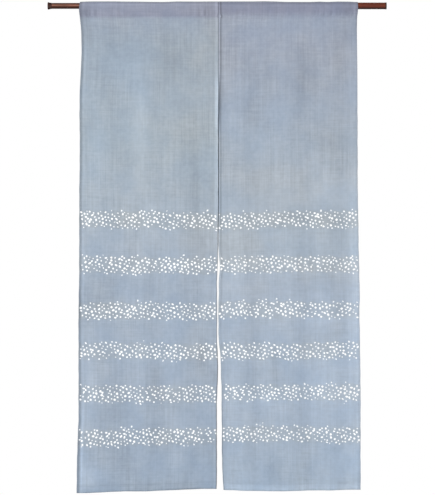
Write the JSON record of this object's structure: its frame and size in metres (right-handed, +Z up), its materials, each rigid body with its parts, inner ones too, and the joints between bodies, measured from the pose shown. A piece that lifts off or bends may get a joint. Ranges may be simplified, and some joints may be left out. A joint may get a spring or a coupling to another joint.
{
  "type": "noren curtain on a pole",
  "caption": "Split cloth door curtain, sewn together at its top and open below, hanging by its sewn pocket on a slim telescopic pole with a flared foot and an end cap.",
  "frame": {"origin": "on the pole's axis, halfway along the pole", "axes": "+X along the pole, to the right of someone who looks at the front; -Y towards them; +Z up, with the cloth hanging towards -Z"},
  "size_m": [1.04, 0.0272, 1.5107],
  "materials": {
    "cloth": "grey-blue dyed linen-like weave, slightly sheer, with printed bands of small white dots",
    "pole_outer": "satin red-brown wood-look film",
    "pole_inner": "satin brown wood-look film",
    "foot": "dark brown rubber",
    "cap": "near-black brown rubber"
  },
  "bodies": {
    "root": {"panel_left": "cloth", "panel_right": "cloth", "pole_outer": "pole_outer", "pole_inner": "pole_inner", "pole_foot_left": "foot", "pole_cap_right": "cap"}
  },
  "joints": []
}
